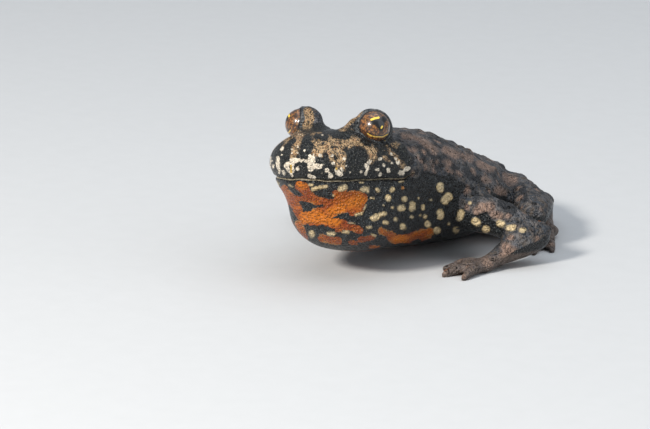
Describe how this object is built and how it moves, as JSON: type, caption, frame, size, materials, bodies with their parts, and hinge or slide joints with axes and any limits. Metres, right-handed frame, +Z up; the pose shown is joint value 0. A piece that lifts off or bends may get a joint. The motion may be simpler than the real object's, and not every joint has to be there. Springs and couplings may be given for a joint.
{
  "type": "fire-bellied toad",
  "caption": "Life-size still model of a fire-bellied toad resting on its belly, head raised and tilted, limbs folded at its sides.",
  "frame": {"origin": "on the floor, below the middle of the toad's bounding box", "axes": "+Z up, the toad looks along -Y, its left side is +X"},
  "size_m": [0.0352, 0.0452, 0.0194],
  "materials": {
    "head_skin": "moist warty skin, dark with cream and tan marks, satin with wet highlights",
    "throat_skin": "moist skin, orange patches and cream dots on black, glossy",
    "body_skin": "moist warty skin, grey-brown above, black with orange patches below, satin",
    "limb_skin": "moist skin, grey-brown with dark marks and pale spots, satin",
    "eye": "clear wet dome over a copper iris with gold flecks and a dark pupil"
  },
  "bodies": {
    "root": {"head": "head_skin", "lower_jaw": "throat_skin", "torso": "body_skin", "left_eye": "eye", "right_eye": "eye", "left_upper_arm": "limb_skin", "right_upper_arm": "limb_skin", "left_forearm": "limb_skin", "right_forearm": "limb_skin", "left_hand": "limb_skin", "right_hand": "limb_skin", "left_thigh": "limb_skin", "right_thigh": "limb_skin", "left_shank": "limb_skin", "right_shank": "limb_skin", "left_foot": "limb_skin", "right_foot": "limb_skin"}
  },
  "joints": []
}
